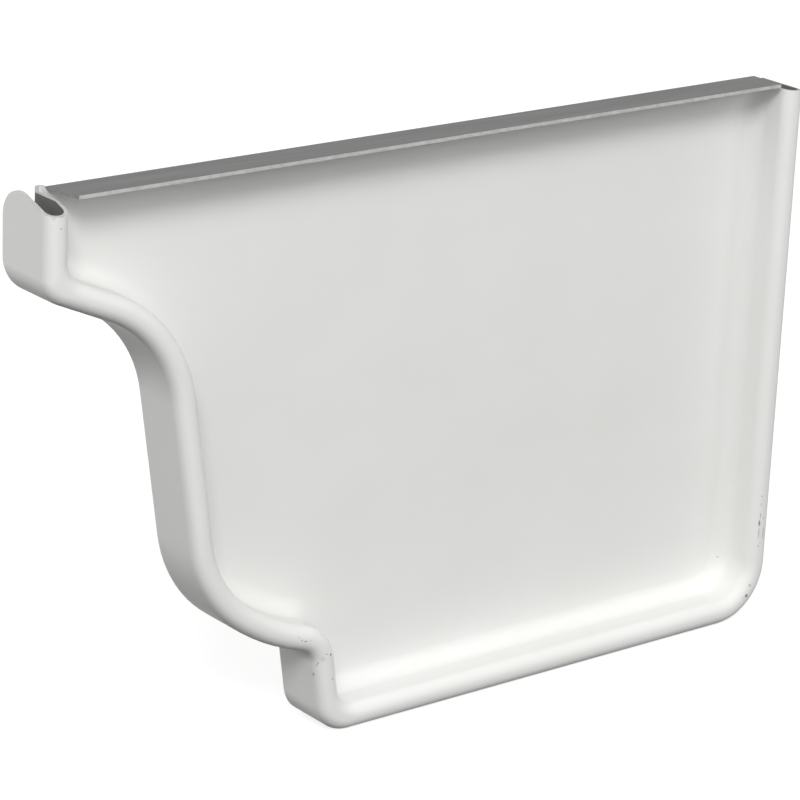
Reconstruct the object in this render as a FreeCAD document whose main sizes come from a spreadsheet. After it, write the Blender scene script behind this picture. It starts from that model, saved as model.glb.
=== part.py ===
"""Right-hand end cap for an ogee roof gutter, pressed from one piece of painted sheet.

The cap stands as it is fitted: X runs from the gutter's front lip to the wall side, Y runs into the
gutter and Z is up. A flat panel closes the gutter's end. Along the front, the bottom and the wall side
the sheet comes forward from the panel, folds over and goes back as a skirt, so that the end of the
gutter slides into the channel between the two walls. The top edge is bent forward as a short flange.
"""
import FreeCAD, Part
import math
import os
import Sketcher

# Driving sizes in millimetres and degrees
SIZES = {
    # The gutter's section: corner points before rounding, on the outside of the skirt
    "cap_width": 132.0,
    "cap_height": 85.0,
    "lip_height": 13.2,
    "shelf_reach": 19.0,
    "shelf_drop": 8.4,
    "belly_reach": 25.1,
    "belly_height": 24.0,
    "step_reach": 44.75,
    "step_height": 13.2,
    "step_lean": 2.1,
    "apron_share": 0.61,
    "apron_bulge": 1.67,
    "lip_radius": 4.0,
    "shelf_radius": 17.5,
    "belly_radius": 20.5,
    "apron_radius": 35.0,
    "step_radius": 3.0,
    "foot_radius": 5.3,
    "heel_radius": 9.1,
    # The sheet and the folded rim
    "sheet": 0.5,
    "channel_width": 3.7,
    "fold_flat": 0.2,
    "rim_depth": 6.8,
    "skirt_reach": 2.3,
    "cove_radius": 2.6,
    "cove_ease": 0.8,
    "cove_tight": 0.4,
    # The tab that the skirt ends in at the top of the lip
    "tab_reach": 4.0,
    "tab_round": 4.0,
    "tab_slope": 18.0,
    "tab_rise": 3.0,
    "tab_taper": 5.0,
    "tab_span": 7.0,
    # The corner of the inner wall and the panel at the top of the lip, which stands back as a small ear
    "ear_depth": 1.9,
    "ear_gap": 0.3,
    "ear_height": 3.4,
    "ear_bend": 0.1,
    "ear_drop": 0.35,
    "lip_drop": 1.1,
    # The top flange and the lower end of the rim beside it
    "flange_depth": 6.0,
    "flange_bend": 0.25,
    "flange_lap": 0.2,
    "flange_bevel": 1.1,
    "flange_gap": 0.3,
    "flange_relief": 0.8,
    "heel_drop": 0.85,
    "heel_fall": 0.7,
    # How far cutting shapes run past the sheet
    "overrun": 2.0,
}

# Sizes that follow from the driving ones
DERIVED = {
    "fold_radius": "=(channel_width - fold_flat) / 2",
    "lip_foot": "=cap_height - lip_height",
    "shelf_height": "=lip_foot - shelf_drop",
    "foot_reach": "=step_reach + step_lean",
    "apron_reach": "=belly_reach + apron_share * (step_reach - belly_reach)",
    "apron_height": "=belly_height + apron_share * (step_height - belly_height) - apron_bulge",
    "tightest": "=cove_radius + cove_ease",
    "ear_top": "=cap_height - ear_drop",
    "ear_round": "=ear_bend + sheet",
    "flange_start": "=channel_width + flange_gap",
    "flange_end": "=cap_width - channel_width - flange_relief",
    "bend_height": "=cap_height - sheet - flange_bend",
    "tab_crest": "=cap_height + tab_reach * tan(tab_slope * 1deg)",
    "tab_front": "=cap_height - (rim_depth + overrun) * tan(tab_slope * 1deg)",
    "front_limit": "=-rim_depth - overrun",
    "back_limit": "=tab_reach + overrun",
    "top_limit": "=tab_crest + overrun",
}

# Corners of the skirt's outside from the lip to the heel: distance from the lip's face, height, radius,
# and whether the outline turns outwards or inwards there
OUTWARDS, INWARDS = "-", "+"
SECTION = (
    ("0", "{lip_foot}", "{lip_radius}", OUTWARDS),
    ("{shelf_reach}", "{shelf_height}", "{shelf_radius}", INWARDS),
    ("{belly_reach}", "{belly_height}", "{belly_radius}", OUTWARDS),
    ("{apron_reach}", "{apron_height}", "{apron_radius}", OUTWARDS),
    ("{step_reach}", "{step_height}", "{step_radius}", INWARDS),
    ("{foot_reach}", "0", "{foot_radius}", OUTWARDS),
    ("{cap_width}", "0", "{heel_radius}", OUTWARDS),
)

# Numbers that a sketch gives to the ends of its elements and to its own axes
START, END = range(1, 3)
LEVEL_AXIS, UPRIGHT_AXIS = range(-1, -3, -1)
ORIGIN = LEVEL_AXIS

# How close two places are when they count as one
NEAR = 1e-4

doc = FreeCAD.newDocument("gutter_end_cap")
sheet = doc.addObject("Spreadsheet::Sheet", "Sizes")


def fill_sheet():
    """Write every size into the sheet under its own name."""
    contents = {name: str(value) for name, value in SIZES.items()}
    contents.update(DERIVED)
    for row, (name, content) in enumerate(contents.items(), start=1):
        sheet.set(f"A{row}", name)
        sheet.set(f"B{row}", content)
        sheet.setAlias(f"B{row}", name)
        doc.recompute()


def tied(expression):
    """Expression with the names in braces turned into references to the sheet."""
    return expression.format_map({name: f"Sizes.{name}" for name in (*SIZES, *DERIVED)})


def value(expression):
    """Present value of an expression of named sizes."""
    return float(sheet.evalExpression(tied(expression)))


# Sketches

def sketch_on(body, role, name, offset):
    """New sketch on one of the body's own planes, moved along the plane's normal."""
    plane = next(feature for feature in body.Origin.OriginFeatures if feature.Role == role)
    sketch = body.newObject("Sketcher::SketchObject", name)
    sketch.AttachmentSupport = [(plane, "")]
    sketch.MapMode = "FlatFace"
    sketch.setExpression(".AttachmentOffset.Base.z", tied(offset))
    doc.recompute()
    return sketch


def relate(sketch, kind, *where):
    """Add a constraint to a sketch and return its number."""
    return sketch.addConstraint(Sketcher.Constraint(kind, *where))


def dimension(sketch, kind, *where, by):
    """Add a dimension that follows an expression of named sizes."""
    number = relate(sketch, kind, *where, value(by))
    sketch.setExpression(f"Constraints[{number}]", tied(by))


def place(sketch, element, across, up):
    """Hold the start of an element at its distances from the sketch's origin."""
    for kind, axis, by in (("DistanceX", UPRIGHT_AXIS, across), ("DistanceY", LEVEL_AXIS, up)):
        distance = value(by)
        if by == "0":
            relate(sketch, "PointOnObject", element, START, axis)
        elif distance < 0:
            dimension(sketch, kind, element, START, ORIGIN, START, by=f"-({by})")
        else:
            dimension(sketch, kind, ORIGIN, START, element, START, by=by)


def inset(points, gap):
    """Corner points of a closed outline after each side has moved inwards by a gap."""
    moved = []
    for before, corner, after in zip(points[-1:] + points[:-1], points, points[1:] + points[:1]):
        back, ahead = (before - corner).normalize(), (after - corner).normalize()
        half = back.getAngle(ahead) / 2
        turn = math.copysign(1, ahead.cross(back).z)
        moved.append(corner + (back + ahead).normalize() * (turn * gap / math.sin(half)))
    return moved


def rounding(before, corner, after, radius):
    """First, middle and last point of the arc that rounds a corner."""
    back, ahead = (before - corner).normalize(), (after - corner).normalize()
    half = back.getAngle(ahead) / 2
    reach = radius / math.tan(half)
    centre = corner + (back + ahead).normalize() * (radius / math.sin(half))
    middle = centre + (corner - centre).normalize() * radius
    return corner + back * reach, middle, corner + ahead * reach


def outline(body, role, name, offset, corners, gap=""):
    """Sketch of a closed outline on a plane of the body.

    Each corner has its distance across, its height and, where it is rounded, its radius. With a gap, the
    sides lie that far inside the lines between the corners.
    """
    sketch = sketch_on(body, role, name, offset)
    points = [FreeCAD.Vector(value(across), value(up), 0) for across, up, _ in corners]
    count = len(points)
    guides = []
    for i in range(count):
        guides.append(sketch.addGeometry(Part.LineSegment(points[i], points[(i + 1) % count]), True))
    for i in range(count):
        relate(sketch, "Coincident", guides[i - 1], END, guides[i], START)
        place(sketch, guides[i], *corners[i][:2])

    drawn = inset(points, value(gap)) if gap else points
    arcs = []
    for i, (_, _, radius) in enumerate(corners):
        around = (drawn[i - 1], drawn[i], drawn[(i + 1) % count])
        arcs.append(rounding(*around, value(radius)) if radius else (drawn[i],) * 3)
    sides = []
    for i in range(count):
        side = sketch.addGeometry(Part.LineSegment(arcs[i][2], arcs[(i + 1) % count][0]))
        relate(sketch, "Parallel", side, guides[i])
        if gap:
            dimension(sketch, "Distance", side, START, guides[i], by=gap)
        else:
            relate(sketch, "PointOnObject", side, START, guides[i])
        sides.append(side)
    for i, (_, _, radius) in enumerate(corners):
        if radius:
            arc = sketch.addGeometry(Part.Arc(*arcs[i]))
            forward = sketch.getPoint(arc, START).isEqual(arcs[i][0], NEAR)
            relate(sketch, "Tangent", sides[i - 1], END, arc, START if forward else END)
            relate(sketch, "Tangent", arc, END if forward else START, sides[i], START)
            dimension(sketch, "Radius", arc, by=radius)
        else:
            relate(sketch, "Coincident", sides[i - 1], END, sides[i], START)
    doc.recompute()
    return sketch


def rectangle(left, right, low, high):
    """Corners of an upright rectangle for an outline."""
    return ((left, low, ""), (right, low, ""), (right, high, ""), (left, high, ""))


# Features

def pad(body, sketch, name, length):
    """Grow a sketch along its normal."""
    feature = body.newObject("PartDesign::Pad", name)
    feature.Profile = sketch
    feature.setExpression("Length", tied(length))
    doc.recompute()
    return feature


def pocket(body, sketch, name, length):
    """Cut a sketch against its normal, and make sure that it takes something away."""
    before = body.Shape.Volume
    feature = body.newObject("PartDesign::Pocket", name)
    feature.Profile = sketch
    feature.setExpression("Length", tied(length))
    doc.recompute()
    if body.Shape.Volume > before - NEAR:
        raise RuntimeError(f"{name} cuts nothing")
    return feature


def within(piece, axis, level):
    """Whether all corners of an edge or a face lie at one level."""
    return all(abs(getattr(vertex.Point, axis) - value(level)) < NEAR for vertex in piece.Vertexes)


def rim_edges(base, level):
    """Numbers and edges that lie at one depth, apart from those along the top."""
    for number, edge in enumerate(base.Shape.Edges, start=1):
        if within(edge, "y", level) and not within(edge, "z", "{cap_height}"):
            yield number, edge


def fillet(body, name, level, radius):
    """Round the edges that lie at one depth."""
    base = body.Tip
    feature = body.newObject("PartDesign::Fillet", name)
    feature.Base = (base, [f"Edge{number}" for number, _ in rim_edges(base, level)])
    feature.setExpression("Radius", tied(radius))
    doc.recompute()
    return feature


def cove(base, name, level, radius, tight):
    """Round the edges that lie at one depth, with a tighter radius at the top of the lip."""
    rounds = []
    for number, edge in rim_edges(base, level):
        ends = []
        for vertex in edge.Vertexes:
            at_lip = within(vertex, "z", "{cap_height}") and vertex.X < value("{cap_width} / 2")
            ends.append(value(tight if at_lip else radius))
        rounds.append((number, *ends))
    feature = doc.addObject("Part::Fillet", name)
    feature.Base = base
    feature.Edges = rounds
    doc.recompute()
    return feature


# The end cap

def wall_section(body, name, depth, top, gap, radius_of):
    """Sketch of one face of the rim's walls, a gap inside the skirt's outside, open to the top."""
    high = f"{top} + {gap}" if gap else top
    corners = [("0", high, "")]
    for across, up, radius, turn in SECTION:
        corners.append((across, up, radius_of(radius, turn)))
    corners.append(("{cap_width}", high, ""))
    return outline(body, "XZ_Plane", name, depth, corners, gap)


def skirt_outside(radius, turn):
    """Corner radius on the outside of the skirt."""
    return radius


def skirt_inside(radius, turn):
    """Corner radius on the channel's side of the skirt."""
    return f"{radius} {turn} {{sheet}}"


def recess_inside(radius, turn):
    """Corner radius of the recess in front of the panel."""
    concentric = f"{radius} {turn} {{channel_width}}"
    return f"max({concentric}; {{tightest}})" if turn == OUTWARDS else concentric


def recess_outside(radius, turn):
    """Corner radius on the channel's side of the recess."""
    opposite = INWARDS if turn == OUTWARDS else OUTWARDS
    return f"{recess_inside(radius, turn)} {opposite} {{sheet}}"


def press_rim(body):
    """Panel, recess wall, fold and skirt as one sheet."""
    top = "{cap_height}"
    past_top = "{cap_height} + {overrun}"
    inner_wall = "{channel_width} - {sheet}"

    sketch = wall_section(body, "skirt_section", "-{tab_reach}", top, "", skirt_outside)
    pad(body, sketch, "blank", "{tab_reach} + {rim_depth}")
    sketch = wall_section(body, "hollow_section", "{rim_depth} - {sheet}", past_top, "{sheet}", skirt_inside)
    pocket(body, sketch, "hollow", "{rim_depth} - {sheet} + {back_limit}")
    sketch = wall_section(body, "pan_section", "-{sheet}", top, inner_wall, recess_outside)
    pad(body, sketch, "pan", "{rim_depth}")
    sketch = wall_section(body, "recess_section", "{rim_depth}", past_top, "{channel_width}", recess_inside)
    pocket(body, sketch, "recess", "{rim_depth}")

    fillet(body, "fold_inside", "{sheet} - {rim_depth}", "{fold_radius} - {sheet}")
    fillet(body, "fold_outside", "-{rim_depth}", "{fold_radius}")
    front = cove(body, "cove_front", "0", "{cove_radius}", "{cove_tight}")
    return cove(front, "cove_back", "{sheet}", "{cove_radius} + {sheet}", "{cove_tight} + {sheet}")


def trim_skirt(body):
    """Cut the skirt to its reach behind the panel and leave the rounded tab at the lip."""
    back = rectangle("{tab_span}", "{cap_width} + {overrun}", "-{overrun}", "{top_limit}")
    sketch = outline(body, "XZ_Plane", "skirt_edge", "-{skirt_reach}", back)
    pocket(body, sketch, "skirt_trim", "{back_limit} - {skirt_reach}")

    around_tab = (
        ("{front_limit}", "{tab_front}", ""),
        ("{tab_reach}", "{tab_crest}", "{tab_round}"),
        ("{tab_reach}", "{lip_foot} + {tab_rise}", "{tab_round}"),
        ("{skirt_reach}", "{lip_foot} + {tab_rise} - {tab_taper}", "{tab_round}"),
        ("{skirt_reach}", "{lip_foot} - {tab_span}", ""),
        ("{back_limit}", "{lip_foot} - {tab_span}", ""),
        ("{back_limit}", "{top_limit}", ""),
        ("{front_limit}", "{top_limit}", ""),
    )
    sketch = outline(body, "YZ_Plane", "tab_edge", "{tab_span}", around_tab)
    pocket(body, sketch, "tab_trim", "{tab_span} + {overrun}")

    past_heel = "{cap_width} + {overrun}"
    above_heel = (
        ("{flange_end}", "{cap_height} - {heel_drop}", ""),
        (past_heel, "{cap_height} - {heel_drop} - {heel_fall}", ""),
        (past_heel, "{top_limit}", ""),
        ("{flange_end}", "{top_limit}", ""),
    )
    sketch = outline(body, "XZ_Plane", "heel_edge", "-({front_limit})", above_heel)
    pocket(body, sketch, "heel_trim", "{back_limit} - {front_limit}")


def bend_flange(body):
    """Replace the top of the panel by a bend and a flange, with its end bevelled beside the lip."""
    above_bend = rectangle("-{cove_radius}", "{back_limit}", "{bend_height}", "{top_limit}")
    sketch = outline(body, "YZ_Plane", "panel_edge", "{flange_end}", above_bend)
    pocket(body, sketch, "panel_trim", "{flange_end} - {flange_start}")

    underside = "{cap_height} - {sheet}"
    root = "{bend_height} - {flange_lap}"
    strip = (
        ("0", root, ""),
        ("0", underside, "{flange_bend}"),
        ("-{flange_depth}", underside, ""),
        ("-{flange_depth}", "{cap_height}", ""),
        ("{sheet}", "{cap_height}", "{flange_bend} + {sheet}"),
        ("{sheet}", root, ""),
    )
    sketch = outline(body, "YZ_Plane", "flange_section", "{flange_start}", strip)
    pad(body, sketch, "flange", "{flange_end} - {flange_start}")

    bevel = (
        ("{flange_start}", "-{flange_bend}", ""),
        ("{flange_start}", "-{flange_depth}", ""),
        ("{flange_start} + {flange_bevel}", "-{flange_depth}", ""),
    )
    sketch = outline(body, "XY_Plane", "bevel_edge", "{cap_height} + {overrun}", bevel)
    pocket(body, sketch, "bevel", "{overrun} + 2 * {sheet}")


def shape_ear(body):
    """Stand the corner at the top of the lip back from the panel, and lower the wall in front of it."""
    wall = "{channel_width} - {sheet}"
    far_side = f"{wall} + 2 * {{sheet}} + {{ear_gap}}"
    outside = (
        (wall, "-{cove_radius}", ""),
        ("{channel_width}", "-{cove_radius}", ""),
        ("{channel_width}", "0", ""),
        (far_side, "0", ""),
        (far_side, "{ear_depth}", "{ear_round}"),
        (wall, "{ear_depth}", "{ear_round}"),
    )
    sketch = outline(body, "XY_Plane", "ear_section", "{ear_top} - {ear_height}", outside)
    pad(body, sketch, "ear", "{ear_height}")

    inside = (
        ("{channel_width}", "-{cove_radius}", ""),
        (f"{far_side} - {{sheet}}", "-{cove_radius}", ""),
        (f"{far_side} - {{sheet}}", "{ear_depth} - {sheet}", "{ear_bend}"),
        ("{channel_width}", "{ear_depth} - {sheet}", "{ear_bend}"),
    )
    sketch = outline(body, "XY_Plane", "ear_inside", "{ear_top} + {overrun}", inside)
    pocket(body, sketch, "ear_hollow", "{overrun} + {ear_height} - {sheet}")

    above_lip = rectangle("{front_limit}", "{ear_depth} - {sheet}", "{cap_height} - {lip_drop}", "{top_limit}")
    sketch = outline(body, "YZ_Plane", "lip_edge", "{channel_width}", above_lip)
    pocket(body, sketch, "lip_trim", "{channel_width} / 2")


def make_end_cap():
    """The whole cap, standing on its bottom edge with the origin under the middle of its outside box."""
    blank = doc.addObject("PartDesign::Body", "pressed_sheet")
    doc.recompute()
    body = doc.addObject("PartDesign::Body", "end_cap")
    body.Label = "end_cap"
    body.BaseFeature = press_rim(blank)
    doc.recompute()
    trim_skirt(body)
    bend_flange(body)
    shape_ear(body)
    body.setExpression(".Placement.Base.x", tied("-{cap_width} / 2"))
    body.setExpression(".Placement.Base.y", tied("({rim_depth} - {tab_reach}) / 2"))
    doc.recompute()
    return body


def check(pieces):
    """Stop where a feature has failed or a piece isn't one sound solid."""
    failed = [item.Name for item in doc.Objects if {"Invalid", "Error"} & set(item.State)]
    if failed:
        raise RuntimeError(f"failed features: {failed}")
    for piece in pieces:
        if piece.Shape.isNull() or not piece.Shape.isValid() or len(piece.Shape.Solids) != 1:
            raise RuntimeError(f"{piece.Label} is not one sound solid")


def main():
    """Build the cap and write its solid."""
    fill_sheet()
    pieces = [make_end_cap()]
    check(pieces)
    os.makedirs("parts", exist_ok=True)
    for piece in pieces:
        piece.Shape.exportStep(f"parts/{piece.Label}.step")
        box = piece.Shape.optimalBoundingBox(False)
        print(f"{piece.Label}: {box.XLength:.2f} x {box.YLength:.2f} x {box.ZLength:.2f} mm")


main()
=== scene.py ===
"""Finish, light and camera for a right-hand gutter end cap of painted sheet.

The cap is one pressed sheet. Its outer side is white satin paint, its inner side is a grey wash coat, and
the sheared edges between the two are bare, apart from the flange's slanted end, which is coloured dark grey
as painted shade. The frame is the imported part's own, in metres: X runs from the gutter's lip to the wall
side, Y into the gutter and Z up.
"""
import logging
import math
from dataclasses import dataclass, field
from enum import Enum
from typing import Any

import bmesh
import bpy
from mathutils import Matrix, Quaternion, Vector


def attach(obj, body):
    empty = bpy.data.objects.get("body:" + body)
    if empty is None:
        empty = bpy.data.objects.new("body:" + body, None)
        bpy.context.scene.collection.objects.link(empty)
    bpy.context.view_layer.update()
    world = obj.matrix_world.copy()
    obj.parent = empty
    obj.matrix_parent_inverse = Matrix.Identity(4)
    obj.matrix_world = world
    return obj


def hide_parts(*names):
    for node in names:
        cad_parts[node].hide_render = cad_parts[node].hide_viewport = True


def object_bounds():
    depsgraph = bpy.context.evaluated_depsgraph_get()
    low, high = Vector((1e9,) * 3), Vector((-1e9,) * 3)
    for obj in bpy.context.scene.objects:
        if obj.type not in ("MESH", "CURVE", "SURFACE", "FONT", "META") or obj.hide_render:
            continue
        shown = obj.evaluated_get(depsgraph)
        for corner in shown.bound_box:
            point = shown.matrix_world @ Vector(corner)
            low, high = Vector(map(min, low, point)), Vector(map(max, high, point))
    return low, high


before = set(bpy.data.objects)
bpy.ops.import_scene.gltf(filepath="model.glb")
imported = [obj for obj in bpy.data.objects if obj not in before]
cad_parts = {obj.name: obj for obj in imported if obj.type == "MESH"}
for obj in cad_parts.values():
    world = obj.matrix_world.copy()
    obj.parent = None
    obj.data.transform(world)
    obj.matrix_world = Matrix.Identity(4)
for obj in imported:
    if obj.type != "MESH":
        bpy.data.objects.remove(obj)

CAD_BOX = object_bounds()
MM = 0.001
NOISE_MIDDLE = 0.5
DRIFT_SPAN = (0.35, 0.65)
ROUGH_SPAN = (0.3, 0.7)

Colour = tuple[float, float, float]
Triple = tuple[float, float, float]

log = logging.getLogger("end_cap")


class Side(Enum):
    """The kinds of surface on the sheet, in the order of its material slots."""

    PAINT = 0
    WASH = 1
    CUT = 2
    # the flange's slanted end, coloured darker than the other cut edges: painted shade
    SLANT = 3


# Nodes

class Canvas:
    """Short calls that lay out the nodes of one tree."""

    def __init__(self, tree: bpy.types.NodeTree) -> None:
        """Start on an empty tree.

        Args:
            tree: The material's, world's or group's node tree.
        """
        tree.nodes.clear()
        self.tree = tree

    def add(self, kind: str, inputs: dict[str | int, Any] | None = None, **settings: Any) -> bpy.types.Node:
        """Make a node and feed its inputs.

        Args:
            kind: Blender's name for the node's class.
            inputs: For each input, by name or number, a plain value or the socket that feeds it.
            **settings: Properties of the node itself.

        Returns:
            The new node.
        """
        node = self.tree.nodes.new(kind)
        for name, setting in settings.items():
            setattr(node, name, setting)
        for name, value in (inputs or {}).items():
            self.feed(node.inputs[name], value)
        return node

    def feed(self, socket: bpy.types.NodeSocket, value: Any) -> None:
        """Link a socket to another, or set its plain value.

        Args:
            socket: The input to fill.
            value: An output socket, or a value for the input itself.
        """
        if isinstance(value, bpy.types.NodeSocket):
            self.tree.links.new(value, socket)
        elif socket.type == "RGBA" and len(value) == 3:
            socket.default_value = (*value, 1.0)
        else:
            socket.default_value = value

    def sum(self, operation: str, *values: Any) -> bpy.types.NodeSocket:
        """Result of a sum on plain numbers or sockets.

        Args:
            operation: The Math node's operation.
            *values: Its operands.

        Returns:
            The result's socket.
        """
        return self.add("ShaderNodeMath", dict(enumerate(values)), operation=operation).outputs[0]

    def vector(self, operation: str, *values: Any, output: str = "Vector") -> bpy.types.NodeSocket:
        """Result of a sum on vectors.

        Args:
            operation: The Vector Math node's operation.
            *values: Its operands.
            output: Which of the node's results is wanted.

        Returns:
            The result's socket.
        """
        return self.add("ShaderNodeVectorMath", dict(enumerate(values)), operation=operation).outputs[output]

    def ramp(
        self, value: Any, low: float, high: float, to_low: Any = 0.0, to_high: Any = 1.0
    ) -> bpy.types.NodeSocket:
        """Carry a value from one range to another, held at its ends.

        Args:
            value: The socket to carry over.
            low: Value that becomes to_low.
            high: Value that becomes to_high.
            to_low: Start of the new range.
            to_high: End of the new range.

        Returns:
            The new value's socket.
        """
        inputs = {"Value": value, "From Min": low, "From Max": high, "To Min": to_low, "To Max": to_high}
        return self.add("ShaderNodeMapRange", inputs).outputs["Result"]

    def mix(self, share: Any, first: Any, second: Any) -> bpy.types.NodeSocket:
        """Colour between two others.

        Args:
            share: How much of the second shows.
            first: Colour at share 0.
            second: Colour at share 1.

        Returns:
            The mixed colour's socket.
        """
        node = self.add("ShaderNodeMix", {"Factor": share}, data_type="RGBA")
        colours = [socket for socket in node.inputs if socket.type == "RGBA"]
        self.feed(colours[0], first)
        self.feed(colours[1], second)
        return next(socket for socket in node.outputs if socket.type == "RGBA")


class Effect:
    """A node group with named inputs and outputs, built once and placed in several materials."""

    name: str
    inputs: dict[str, str]
    outputs: dict[str, str]

    def __init__(self) -> None:
        """Make the group's sockets and nodes."""
        self.tree = bpy.data.node_groups.new(self.name, "ShaderNodeTree")
        for direction, sockets in (("INPUT", self.inputs), ("OUTPUT", self.outputs)):
            for title, kind in sockets.items():
                self.tree.interface.new_socket(name=title, in_out=direction, socket_type=kind)
        canvas = Canvas(self.tree)
        given = canvas.add("NodeGroupInput").outputs
        canvas.add("NodeGroupOutput", self.draw(canvas, given))

    def draw(self, canvas: Canvas, given: Any) -> dict[str, bpy.types.NodeSocket]:
        """Lay out the group's inside.

        Args:
            canvas: The group's canvas.
            given: The group's own inputs.

        Returns:
            The socket for each of the group's outputs.
        """
        raise NotImplementedError

    def place(self, canvas: Canvas, **inputs: Any) -> Any:
        """Put the group into a material.

        Args:
            canvas: The material's canvas.
            **inputs: Values or sockets for the group's inputs.

        Returns:
            The placed group's outputs.
        """
        return canvas.add("ShaderNodeGroup", inputs, node_tree=self.tree).outputs


class Grain(Effect):
    """Small unevenness of a coat or a sheared edge, drawn out along an axis where it runs in streaks."""

    name = "grain"
    inputs = {"Position": "NodeSocketVector", "Pitch": "NodeSocketVector"}
    outputs = {"Height": "NodeSocketFloat"}
    detail = 3.0

    def draw(self, canvas: Canvas, given: Any) -> dict[str, bpy.types.NodeSocket]:
        """Noise with its own pitch along each axis.

        Args:
            canvas: The group's canvas.
            given: The group's own inputs.

        Returns:
            The socket for each of the group's outputs.
        """
        cells = canvas.vector("DIVIDE", given["Position"], given["Pitch"])
        noise = canvas.add("ShaderNodeTexNoise", {"Vector": cells, "Scale": 1.0, "Detail": self.detail})
        return {"Height": noise.outputs["Fac"]}


class Specks(Effect):
    """Thinly scattered specks of dirt, each of its own size."""

    name = "specks"
    inputs = {
        "Position": "NodeSocketVector",
        "Spacing": "NodeSocketFloat",
        "Size": "NodeSocketFloat",
        "Share": "NodeSocketFloat",
    }
    outputs = {"Mask": "NodeSocketFloat"}
    full_inside = 0.5

    def draw(self, canvas: Canvas, given: Any) -> dict[str, bpy.types.NodeSocket]:
        """A spot at the middle of some of the cells that fill space.

        Args:
            canvas: The group's canvas.
            given: The group's own inputs.

        Returns:
            The socket for each of the group's outputs.
        """
        cells = canvas.vector("DIVIDE", given["Position"], given["Spacing"])
        spots = canvas.add("ShaderNodeTexVoronoi", {"Vector": cells, "Scale": 1.0})
        chance = canvas.add("ShaderNodeSeparateColor", {"Color": spots.outputs["Color"]}).outputs
        away = canvas.sum("MULTIPLY", spots.outputs["Distance"], given["Spacing"])
        reach = canvas.sum("MULTIPLY", given["Size"], chance["Green"])
        inside = canvas.ramp(canvas.sum("DIVIDE", away, reach), 1.0, self.full_inside)
        chosen = canvas.sum("LESS_THAN", chance["Red"], given["Share"])
        return {"Mask": canvas.sum("MULTIPLY", inside, chosen)}


class Chip(Effect):
    """One ragged chip or scratch at a place of its own."""

    name = "chip"
    inputs = {"Position": "NodeSocketVector", "Centre": "NodeSocketVector", "Reach": "NodeSocketVector"}
    outputs = {"Mask": "NodeSocketFloat"}
    ragged_pitch = 0.12 * MM
    ragged_depth = 0.9
    full_inside = 0.6

    def draw(self, canvas: Canvas, given: Any) -> dict[str, bpy.types.NodeSocket]:
        """A blob round the centre, with its rim pushed in and out.

        Args:
            canvas: The group's canvas.
            given: The group's own inputs.

        Returns:
            The socket for each of the group's outputs.
        """
        offset = canvas.vector("SUBTRACT", given["Position"], given["Centre"])
        away = canvas.vector("LENGTH", canvas.vector("DIVIDE", offset, given["Reach"]), output="Value")
        scale = 1 / self.ragged_pitch
        noise = canvas.add("ShaderNodeTexNoise", {"Vector": given["Position"], "Scale": scale})
        centred = canvas.sum("SUBTRACT", noise.outputs["Fac"], NOISE_MIDDLE)
        push = canvas.sum("MULTIPLY", centred, self.ragged_depth)
        return {"Mask": canvas.ramp(canvas.sum("ADD", away, push), 1.0, self.full_inside)}


# Finishes

@dataclass(frozen=True)
class Mark:
    """A worn place on the paint.

    Attributes:
        centre: Place on the cap in millimetres.
        reach: Half its size along X, Y and Z in millimetres.
        depth: How much of the paint is gone, from 0 to 1.
    """

    centre: Triple
    reach: Triple
    depth: float = 1.0


APRON_CHIPS = (
    Mark((-24.27, -5.38, 16.52), (0.12, 0.4, 0.18), 0.35),
    Mark((-23.75, -5.4, 16.03), (0.17, 0.4, 0.13), 0.6),
    Mark((-23.13, -5.4, 15.72), (0.32, 0.4, 0.13), 0.65),
    Mark((-22.3, -5.4, 15.62), (0.25, 0.4, 0.1), 0.2),
)
STEP_CHIPS = (
    Mark((-18.54, -5.25, 12.63), (0.2, 0.4, 0.19), 1.0),
    Mark((-19.38, -5.4, 12.93), (0.3, 0.4, 0.1), 0.4),
    Mark((-19.9, -5.33, 12.28), (0.45, 0.4, 0.4), 0.15),
    Mark((-20.47, -4.89, 11.62), (0.11, 0.25, 0.2), 0.5),
    Mark((-20.56, -4.74, 11.28), (0.1, 0.25, 0.18), 0.4),
    Mark((-20.63, -4.16, 9.75), (0.2, 0.25, 0.24), 0.5),
    Mark((-20.58, -4.11, 9.4), (0.1, 0.2, 0.16), 0.3),
    Mark((-18.14, -5.34, 8.86), (0.2, 0.3, 0.22), 0.4),
)
HEEL_CHIPS = (
    Mark((63.68, -5.36, 20.09), (0.2, 0.3, 0.2), 0.3),
    Mark((63.65, -5.35, 18.74), (0.12, 0.3, 0.45), 0.25),
    Mark((63.65, -5.35, 16.94), (0.12, 0.3, 0.55), 0.42),
    Mark((63.57, -5.33, 15.66), (0.16, 0.3, 0.62), 0.8),
    Mark((63.62, -5.34, 14.06), (0.14, 0.3, 1.05), 0.36),
    Mark((64.46, -5.38, 13.9), (0.16, 0.3, 1.25), 0.34),
    Mark((64.27, -5.4, 16.42), (0.2, 0.3, 0.3), 0.25),
    Mark((63.95, -5.39, 12.44), (0.15, 0.3, 0.2), 0.2),
    Mark((63.71, -5.36, 11.93), (0.18, 0.3, 0.18), 0.35),
    Mark((61.25, 0.85, 8.53), (0.2, 0.3, 0.2), 0.3),
    Mark((62.59, -5.34, 5.59), (0.3, 0.3, 0.3), 0.35),
    Mark((61.95, -5.4, 4.01), (0.4, 0.4, 0.36), 0.65),
    Mark((61.21, -5.35, 3.88), (0.3, 0.3, 0.12), 0.2),
)
LIP_CHIPS = (
    Mark((-64.1, -5.4, 81.31), (0.25, 0.3, 0.2), 0.25),
    Mark((-65.04, -5.21, 82.7), (0.4, 0.4, 0.2), 0.15),
)


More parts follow.
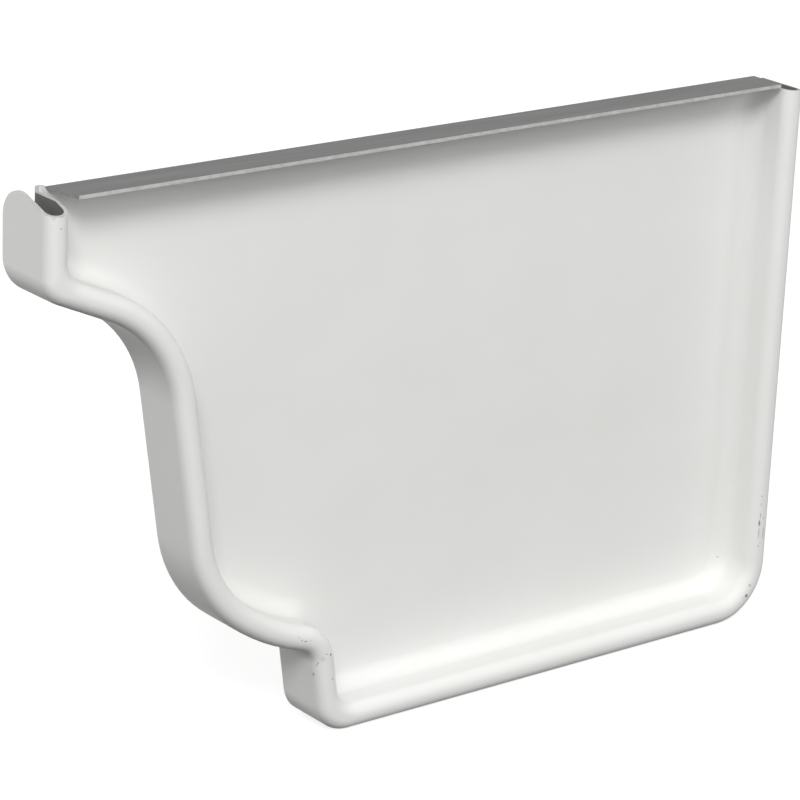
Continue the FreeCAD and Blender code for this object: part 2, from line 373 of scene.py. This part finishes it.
@dataclass(frozen=True)
class Finish:
    """What every finish on the sheet has.

    Attributes:
        name: The material's name.
        colour: Its colour where it is clean and even.
        other: The colour that it drifts to in patches.
        patch: Size of the patches along X, Y and Z in millimetres.
        roughness: Lowest and highest roughness.
        gloss: How strongly its surface mirrors; 0.5 is a hard clear coat.
        pitch: Size of the grain along X, Y and Z in millimetres.
        relief: Height of the grain in millimetres.
        metallic: Share of bare metal.
    """

    name: str
    colour: Colour
    other: Colour
    patch: Triple
    roughness: tuple[float, float]
    gloss: float
    pitch: Triple
    relief: float
    metallic: float = 0.0

    def material(self, effects: dict[str, Effect]) -> bpy.types.Material:
        """Make the material.

        Args:
            effects: The shared effects by name.

        Returns:
            A material with its shader and nodes in place.
        """
        material = bpy.data.materials.new(self.name)
        material.use_nodes = True
        canvas = Canvas(material.node_tree)
        position = canvas.add("ShaderNodeTexCoord").outputs["Object"]
        patches = effects["grain"].place(canvas, Position=position, Pitch=Vector(self.patch) * MM)["Height"]
        grain = effects["grain"].place(canvas, Position=position, Pitch=Vector(self.pitch) * MM)["Height"]
        drift = canvas.ramp(patches, *DRIFT_SPAN)
        colour = canvas.mix(drift, self.colour, self.other)
        bump = canvas.add("ShaderNodeBump", {"Height": grain, "Distance": self.relief * MM})
        inputs = {
            "Base Color": self.worn(canvas, position, colour, effects),
            "Roughness": canvas.ramp(patches, *ROUGH_SPAN, *self.roughness),
            "Metallic": self.metallic,
            "Specular IOR Level": self.gloss,
            "Normal": bump.outputs["Normal"],
        }
        shader = canvas.add("ShaderNodeBsdfPrincipled", inputs)
        canvas.add("ShaderNodeOutputMaterial", {"Surface": shader.outputs["BSDF"]})
        return material

    def worn(self, canvas: Canvas, position: Any, colour: Any, effects: dict[str, Effect]) -> Any:
        """Colour with its wear; a finish without wear keeps the colour as it is."""
        return colour


@dataclass(frozen=True)
class SatinPaint(Finish):
    """White paint on the outer side, chipped where the cap has been handled.

    Attributes:
        marks: The worn places.
        bared: Colour under the paint.
        dirt: Colour of the specks.
        dirt_spacing: Size of the cells that hold one speck at most, in millimetres.
        dirt_size: Reach of the largest speck, in millimetres.
        dirt_share: Share of the cells with a speck.
    """

    marks: tuple[Mark, ...] = ()
    bared: Colour = (0.07, 0.07, 0.065)
    dirt: Colour = (0.55, 0.55, 0.53)
    dirt_spacing: float = 4.0
    dirt_size: float = 0.16
    dirt_share: float = 0.3

    def worn(self, canvas: Canvas, position: Any, colour: Any, effects: dict[str, Effect]) -> Any:
        """Colour with specks of dirt and with chips down to the metal.

        Args:
            canvas: The material's canvas.
            position: Place on the cap.
            colour: Colour of the clean paint.
            effects: The shared effects by name.

        Returns:
            The worn colour's socket.
        """
        spacing, size = self.dirt_spacing * MM, self.dirt_size * MM
        specks = effects["specks"].place(
            canvas, Position=position, Spacing=spacing, Size=size, Share=self.dirt_share
        )
        colour = canvas.mix(specks["Mask"], colour, self.dirt)
        bare: Any = 0.0
        for mark in self.marks:
            centre, reach = Vector(mark.centre) * MM, Vector(mark.reach) * MM
            mask = effects["chip"].place(canvas, Position=position, Centre=centre, Reach=reach)["Mask"]
            bare = canvas.sum("MAXIMUM", bare, canvas.sum("MULTIPLY", mask, mark.depth))
        return canvas.mix(bare, colour, self.bared)


@dataclass(frozen=True)
class WashCoat(Finish):
    """Thin grey coat on the inner side, with paler scuffs.

    Attributes:
        scuff: Colour of the scuffs.
        scuff_spacing: Size of the cells that hold one scuff at most, in millimetres.
        scuff_size: Reach of the largest scuff, in millimetres.
        scuff_share: Share of the cells with a scuff.
    """

    scuff: Colour = (0.3, 0.3, 0.3)
    scuff_spacing: float = 5.0
    scuff_size: float = 0.3
    scuff_share: float = 0.25

    def worn(self, canvas: Canvas, position: Any, colour: Any, effects: dict[str, Effect]) -> Any:
        """Colour with a few pale scuffs.

        Args:
            canvas: The material's canvas.
            position: Place on the cap.
            colour: Colour of the clean coat.
            effects: The shared effects by name.

        Returns:
            The worn colour's socket.
        """
        spacing, size = self.scuff_spacing * MM, self.scuff_size * MM
        scuffs = effects["specks"].place(
            canvas, Position=position, Spacing=spacing, Size=size, Share=self.scuff_share
        )
        return canvas.mix(scuffs["Mask"], colour, self.scuff)


# The cap

@dataclass
class EndCap:
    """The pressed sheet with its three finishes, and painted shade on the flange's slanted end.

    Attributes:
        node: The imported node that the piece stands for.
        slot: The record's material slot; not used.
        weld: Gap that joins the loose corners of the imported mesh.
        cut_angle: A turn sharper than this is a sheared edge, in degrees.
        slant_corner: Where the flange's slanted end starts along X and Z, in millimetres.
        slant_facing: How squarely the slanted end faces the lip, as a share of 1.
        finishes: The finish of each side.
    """

    node: str = "end_cap"
    slot: str = "painted_sheet"
    weld: float = 0.001 * MM
    cut_angle: float = 38.0
    slant_corner: tuple[float, float] = (-62.2, 84.6)
    slant_facing: float = 0.9
    finishes: dict[Side, Finish] = field(default_factory=dict)

    def build(self, effects: dict[str, Effect]) -> bpy.types.Object:
        """Make the piece, dress it and seat it in the frame.

        Args:
            effects: The shared effects by name.

        Returns:
            The finished piece.
        """
        piece = bpy.data.objects.new("painted_end_cap", self.sheet_mesh())
        bpy.context.scene.collection.objects.link(piece)
        for side in Side:
            piece.data.materials.append(self.finishes[side].material(effects))
        even = piece.modifiers.new("even_shading", "WEIGHTED_NORMAL")
        even.keep_sharp = True
        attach(piece, "root")
        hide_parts(self.node)
        return piece

    def sheet_mesh(self) -> bpy.types.Mesh:
        """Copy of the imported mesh, welded, shaded smooth between its cut edges and sorted into sides.

        Returns:
            The piece's mesh.
        """
        sheet = bmesh.new()
        sheet.from_mesh(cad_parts[self.node].data)
        bmesh.ops.remove_doubles(sheet, verts=sheet.verts, dist=self.weld)
        for edge in sheet.edges:
            edge.smooth = edge.calc_face_angle() < math.radians(self.cut_angle)
        for face in sheet.faces:
            face.smooth = True
            face.material_index = Side.CUT.value
        for side, outward in ((Side.PAINT, Vector((0, -1, 0))), (Side.WASH, Vector((0, 1, 0)))):
            for face in self.spread(self.widest(sheet, outward)):
                face.material_index = side.value
        # the slanted end takes the dark finish that is painted shade
        for face in filter(self.on_slant, sheet.faces):
            face.material_index = Side.SLANT.value
        mesh = bpy.data.meshes.new("painted_end_cap")
        sheet.to_mesh(mesh)
        sheet.free()
        return mesh

    def on_slant(self, face: bmesh.types.BMFace) -> bool:
        """Whether a face is the flange's slanted end, which faces the lip.

        Args:
            face: A face of the sheet.

        Returns:
            True on the slanted end.
        """
        centre = face.calc_center_median() / MM
        facing_lip = face.normal.x < -self.slant_facing
        return facing_lip and centre.x > self.slant_corner[0] and centre.z > self.slant_corner[1]

    @staticmethod
    def widest(sheet: bmesh.types.BMesh, outward: Vector) -> bmesh.types.BMFace:
        """Largest face that looks a given way, which lies on the panel."""
        return max(sheet.faces, key=lambda face: face.calc_area() * face.normal.dot(outward))

    @staticmethod
    def spread(start: bmesh.types.BMFace) -> set[bmesh.types.BMFace]:
        """Faces that join a first one without crossing a cut edge.

        Args:
            start: A face on the wanted side.

        Returns:
            All the faces of that side.
        """
        found = {start}
        waiting = [start]
        while waiting:
            for edge in waiting.pop().edges:
                if edge.smooth:
                    fresh = set(edge.link_faces) - found
                    found |= fresh
                    waiting.extend(fresh)
        return found


# The studio

@dataclass(frozen=True)
class Softbox:
    """A square area lamp that looks at the cap.

    Attributes:
        name: The lamp's name.
        azimuth: Where it stands round the cap, in degrees; 0 is in front, and 90 is at the wall side.
        elevation: Its height above the floor, in degrees.
        distance: How far it is from the cap, in metres.
        size: Its side, in metres.
        power: Its power, in watts.
        tint: Its colour.
    """

    name: str
    azimuth: float
    elevation: float
    distance: float
    size: float
    power: float
    tint: Colour = (1.0, 1.0, 1.0)


@dataclass
class Studio:
    """Pale floor, soft light and the camera.

    Attributes:
        softboxes: The lamps.
        sky: Strength of the even light from all round.
        sky_tint: Its colour.
        floor_side: Length of the floor's side, in metres.
        floor_gap: How far the floor lies under the cap, in metres.
        floor_seen: Colour of the floor to the camera.
        floor_glow: Its own light to the camera, which makes it white.
        floor_bounce: Its colour to the light that it throws back on to the cap.
        aim: Where the camera looks, from the middle of the cap's box, in millimetres.
        azimuth: Where the camera stands, in degrees.
        elevation: Its height, in degrees.
        roll: Its turn about its own line of sight, in degrees.
        distance: How far it is from its aim, in metres.
        lens: Its focal length, in millimetres.
    """

    softboxes: tuple[Softbox, ...]
    sky: float = 0.3
    sky_tint: Colour = (1.0, 0.985, 0.95)
    floor_side: float = 8.0
    floor_gap: float = 0.05 * MM
    floor_seen: Colour = (0.35, 0.35, 0.35)
    floor_glow: float = 0.82
    floor_bounce: Colour = (0.05, 0.05, 0.048)
    aim: Triple = (-2.586, 1.7, 2.945)
    azimuth: float = -38.736
    elevation: float = 18.981
    roll: float = 2.542
    distance: float = 0.48996
    lens: float = 156.25

    def build(self, low: Vector, high: Vector) -> None:
        """Set up the floor, the light and the camera round the cap.

        Args:
            low: Lowest corner of the cap's box.
            high: Highest corner of the cap's box.
        """
        middle = (low + high) / 2
        bpy.context.scene.view_settings.view_transform = "Standard"
        self.lay_floor(low.z)
        self.light_sky()
        for softbox in self.softboxes:
            self.hang(softbox, middle)
        self.aim_camera(middle + Vector(self.aim) * MM)

    @staticmethod
    def towards(azimuth: float, elevation: float) -> Vector:
        """Direction from the cap to a place round it, from two angles in degrees."""
        turn, rise = math.radians(azimuth), math.radians(elevation)
        return Vector((math.sin(turn) * math.cos(rise), -math.cos(turn) * math.cos(rise), math.sin(rise)))

    @staticmethod
    def seen(canvas: Canvas) -> bpy.types.NodeSocket:
        """Mask that is 1 for what the camera sees, directly or in a reflection.

        Args:
            canvas: The material's or world's canvas.

        Returns:
            The mask's socket.
        """
        path = canvas.add("ShaderNodeLightPath").outputs
        mirrored = canvas.sum("MAXIMUM", path["Is Glossy Ray"], path["Is Transmission Ray"])
        return canvas.sum("MAXIMUM", path["Is Camera Ray"], mirrored)

    def lay_floor(self, level: float) -> None:
        """Make the floor under the cap.

        Args:
            level: Height of the cap's lowest point.
        """
        ground = bmesh.new()
        bmesh.ops.create_grid(ground, x_segments=1, y_segments=1, size=self.floor_side / 2)
        bmesh.ops.translate(ground, verts=ground.verts, vec=(0, 0, level - self.floor_gap))
        mesh = bpy.data.meshes.new("floor")
        ground.to_mesh(mesh)
        ground.free()
        floor = bpy.data.objects.new("floor", mesh)
        bpy.context.scene.collection.objects.link(floor)
        mesh.materials.append(self.floor_material())

    def floor_material(self) -> bpy.types.Material:
        """White to the camera, with the cap's shadow, and grey to the light that goes back up.

        Returns:
            The floor's material.
        """
        material = bpy.data.materials.new("pale_floor")
        material.use_nodes = True
        canvas = Canvas(material.node_tree)
        bounce = canvas.add("ShaderNodeBsdfDiffuse", {"Color": self.floor_bounce}).outputs[0]
        matt = canvas.add("ShaderNodeBsdfDiffuse", {"Color": self.floor_seen}).outputs[0]
        glow = canvas.add("ShaderNodeEmission", {"Strength": self.floor_glow}).outputs[0]
        white = canvas.add("ShaderNodeAddShader", {0: matt, 1: glow}).outputs[0]
        shader = canvas.add("ShaderNodeMixShader", {0: self.seen(canvas), 1: bounce, 2: white}).outputs[0]
        canvas.add("ShaderNodeOutputMaterial", {"Surface": shader})
        return material

    def light_sky(self) -> None:
        """Even light from all round, behind which the camera sees white."""
        world = bpy.data.worlds.new("studio")
        bpy.context.scene.world = world
        world.use_nodes = True
        canvas = Canvas(world.node_tree)
        white = (1.0, 1.0, 1.0)
        light = canvas.add("ShaderNodeBackground", {"Color": self.sky_tint, "Strength": self.sky}).outputs[0]
        backdrop = canvas.add("ShaderNodeBackground", {"Color": white, "Strength": 1.0}).outputs[0]
        shader = canvas.add("ShaderNodeMixShader", {0: self.seen(canvas), 1: light, 2: backdrop}).outputs[0]
        canvas.add("ShaderNodeOutputWorld", {"Surface": shader})

    def hang(self, softbox: Softbox, target: Vector) -> None:
        """Put up one lamp.

        Args:
            softbox: The lamp's settings.
            target: The point that it looks at.
        """
        lamp = bpy.data.lights.new(softbox.name, "AREA")
        lamp.size = softbox.size
        lamp.energy = softbox.power
        lamp.color = softbox.tint
        holder = bpy.data.objects.new(softbox.name, lamp)
        bpy.context.scene.collection.objects.link(holder)
        out = self.towards(softbox.azimuth, softbox.elevation)
        holder.location = target + out * softbox.distance
        holder.rotation_euler = (-out).to_track_quat("-Z", "Y").to_euler()

    def aim_camera(self, target: Vector) -> None:
        """Make the camera and point it.

        Args:
            target: The point in the middle of the picture.
        """
        camera = bpy.data.cameras.new("camera")
        camera.lens = self.lens
        holder = bpy.data.objects.new("camera", camera)
        bpy.context.scene.collection.objects.link(holder)
        out = self.towards(self.azimuth, self.elevation)
        roll = Quaternion((0, 0, 1), math.radians(self.roll))
        holder.location = target + out * self.distance
        holder.rotation_mode = "QUATERNION"
        holder.rotation_quaternion = (-out).to_track_quat("-Z", "Y") @ roll
        bpy.context.scene.camera = holder


# Values

FINISHES = {
    Side.PAINT: SatinPaint(
        name="white_satin_paint",
        colour=(0.8, 0.8, 0.792),
        other=(0.785, 0.785, 0.772),
        patch=(18.0, 18.0, 14.0),
        roughness=(0.42, 0.5),
        gloss=0.12,
        pitch=(0.7, 0.7, 0.7),
        relief=0.004,
        marks=(*APRON_CHIPS, *STEP_CHIPS, *HEEL_CHIPS, *LIP_CHIPS),
    ),
    Side.WASH: WashCoat(
        name="grey_wash_coat",
        colour=(0.134, 0.134, 0.134),
        other=(0.126, 0.126, 0.126),
        patch=(30.0, 1.5, 1.5),
        roughness=(0.5, 0.62),
        gloss=0.4,
        pitch=(6.0, 0.15, 0.15),
        relief=0.0015,
    ),
    Side.CUT: Finish(
        name="sheared_edge",
        colour=(0.54, 0.54, 0.525),
        other=(0.43, 0.43, 0.42),
        patch=(1.2, 1.2, 1.2),
        roughness=(0.4, 0.55),
        gloss=0.4,
        pitch=(0.12, 0.12, 0.12),
        relief=0.006,
    ),
    # painted shade: the slanted end is coloured nearly as dark as the wash coat to stand in for shade
    Side.SLANT: Finish(
        name="slant_painted_shade",
        colour=(0.29, 0.29, 0.28),
        other=(0.24, 0.24, 0.235),
        patch=(1.2, 1.2, 1.2),
        roughness=(0.45, 0.6),
        gloss=0.3,
        pitch=(0.12, 0.12, 0.12),
        relief=0.004,
    ),
}

SOFTBOXES = (
    Softbox("camera_softbox", azimuth=-40.0, elevation=40.0, distance=1.2, size=0.35, power=7.6),
    Softbox("front_softbox", azimuth=20.0, elevation=25.0, distance=1.2, size=0.9, power=6.2),
    Softbox("lip_softbox", azimuth=-70.0, elevation=25.0, distance=1.2, size=0.9, power=3.2),
    Softbox("back_softbox", azimuth=-165.0, elevation=10.0, distance=1.2, size=0.9, power=7.0),
)


def main() -> None:
    """Dress the cap, set up the studio and report the piece."""
    logging.basicConfig(level=logging.INFO, format="%(name)s: %(message)s")
    effects = {kind.name: kind() for kind in (Grain, Specks, Chip)}
    piece = EndCap(finishes=FINISHES).build(effects)
    log.info("%s: %d faces", piece.name, len(piece.data.polygons))
    Studio(softboxes=SOFTBOXES).build(*CAD_BOX)


if __name__ == "__main__":
    main()
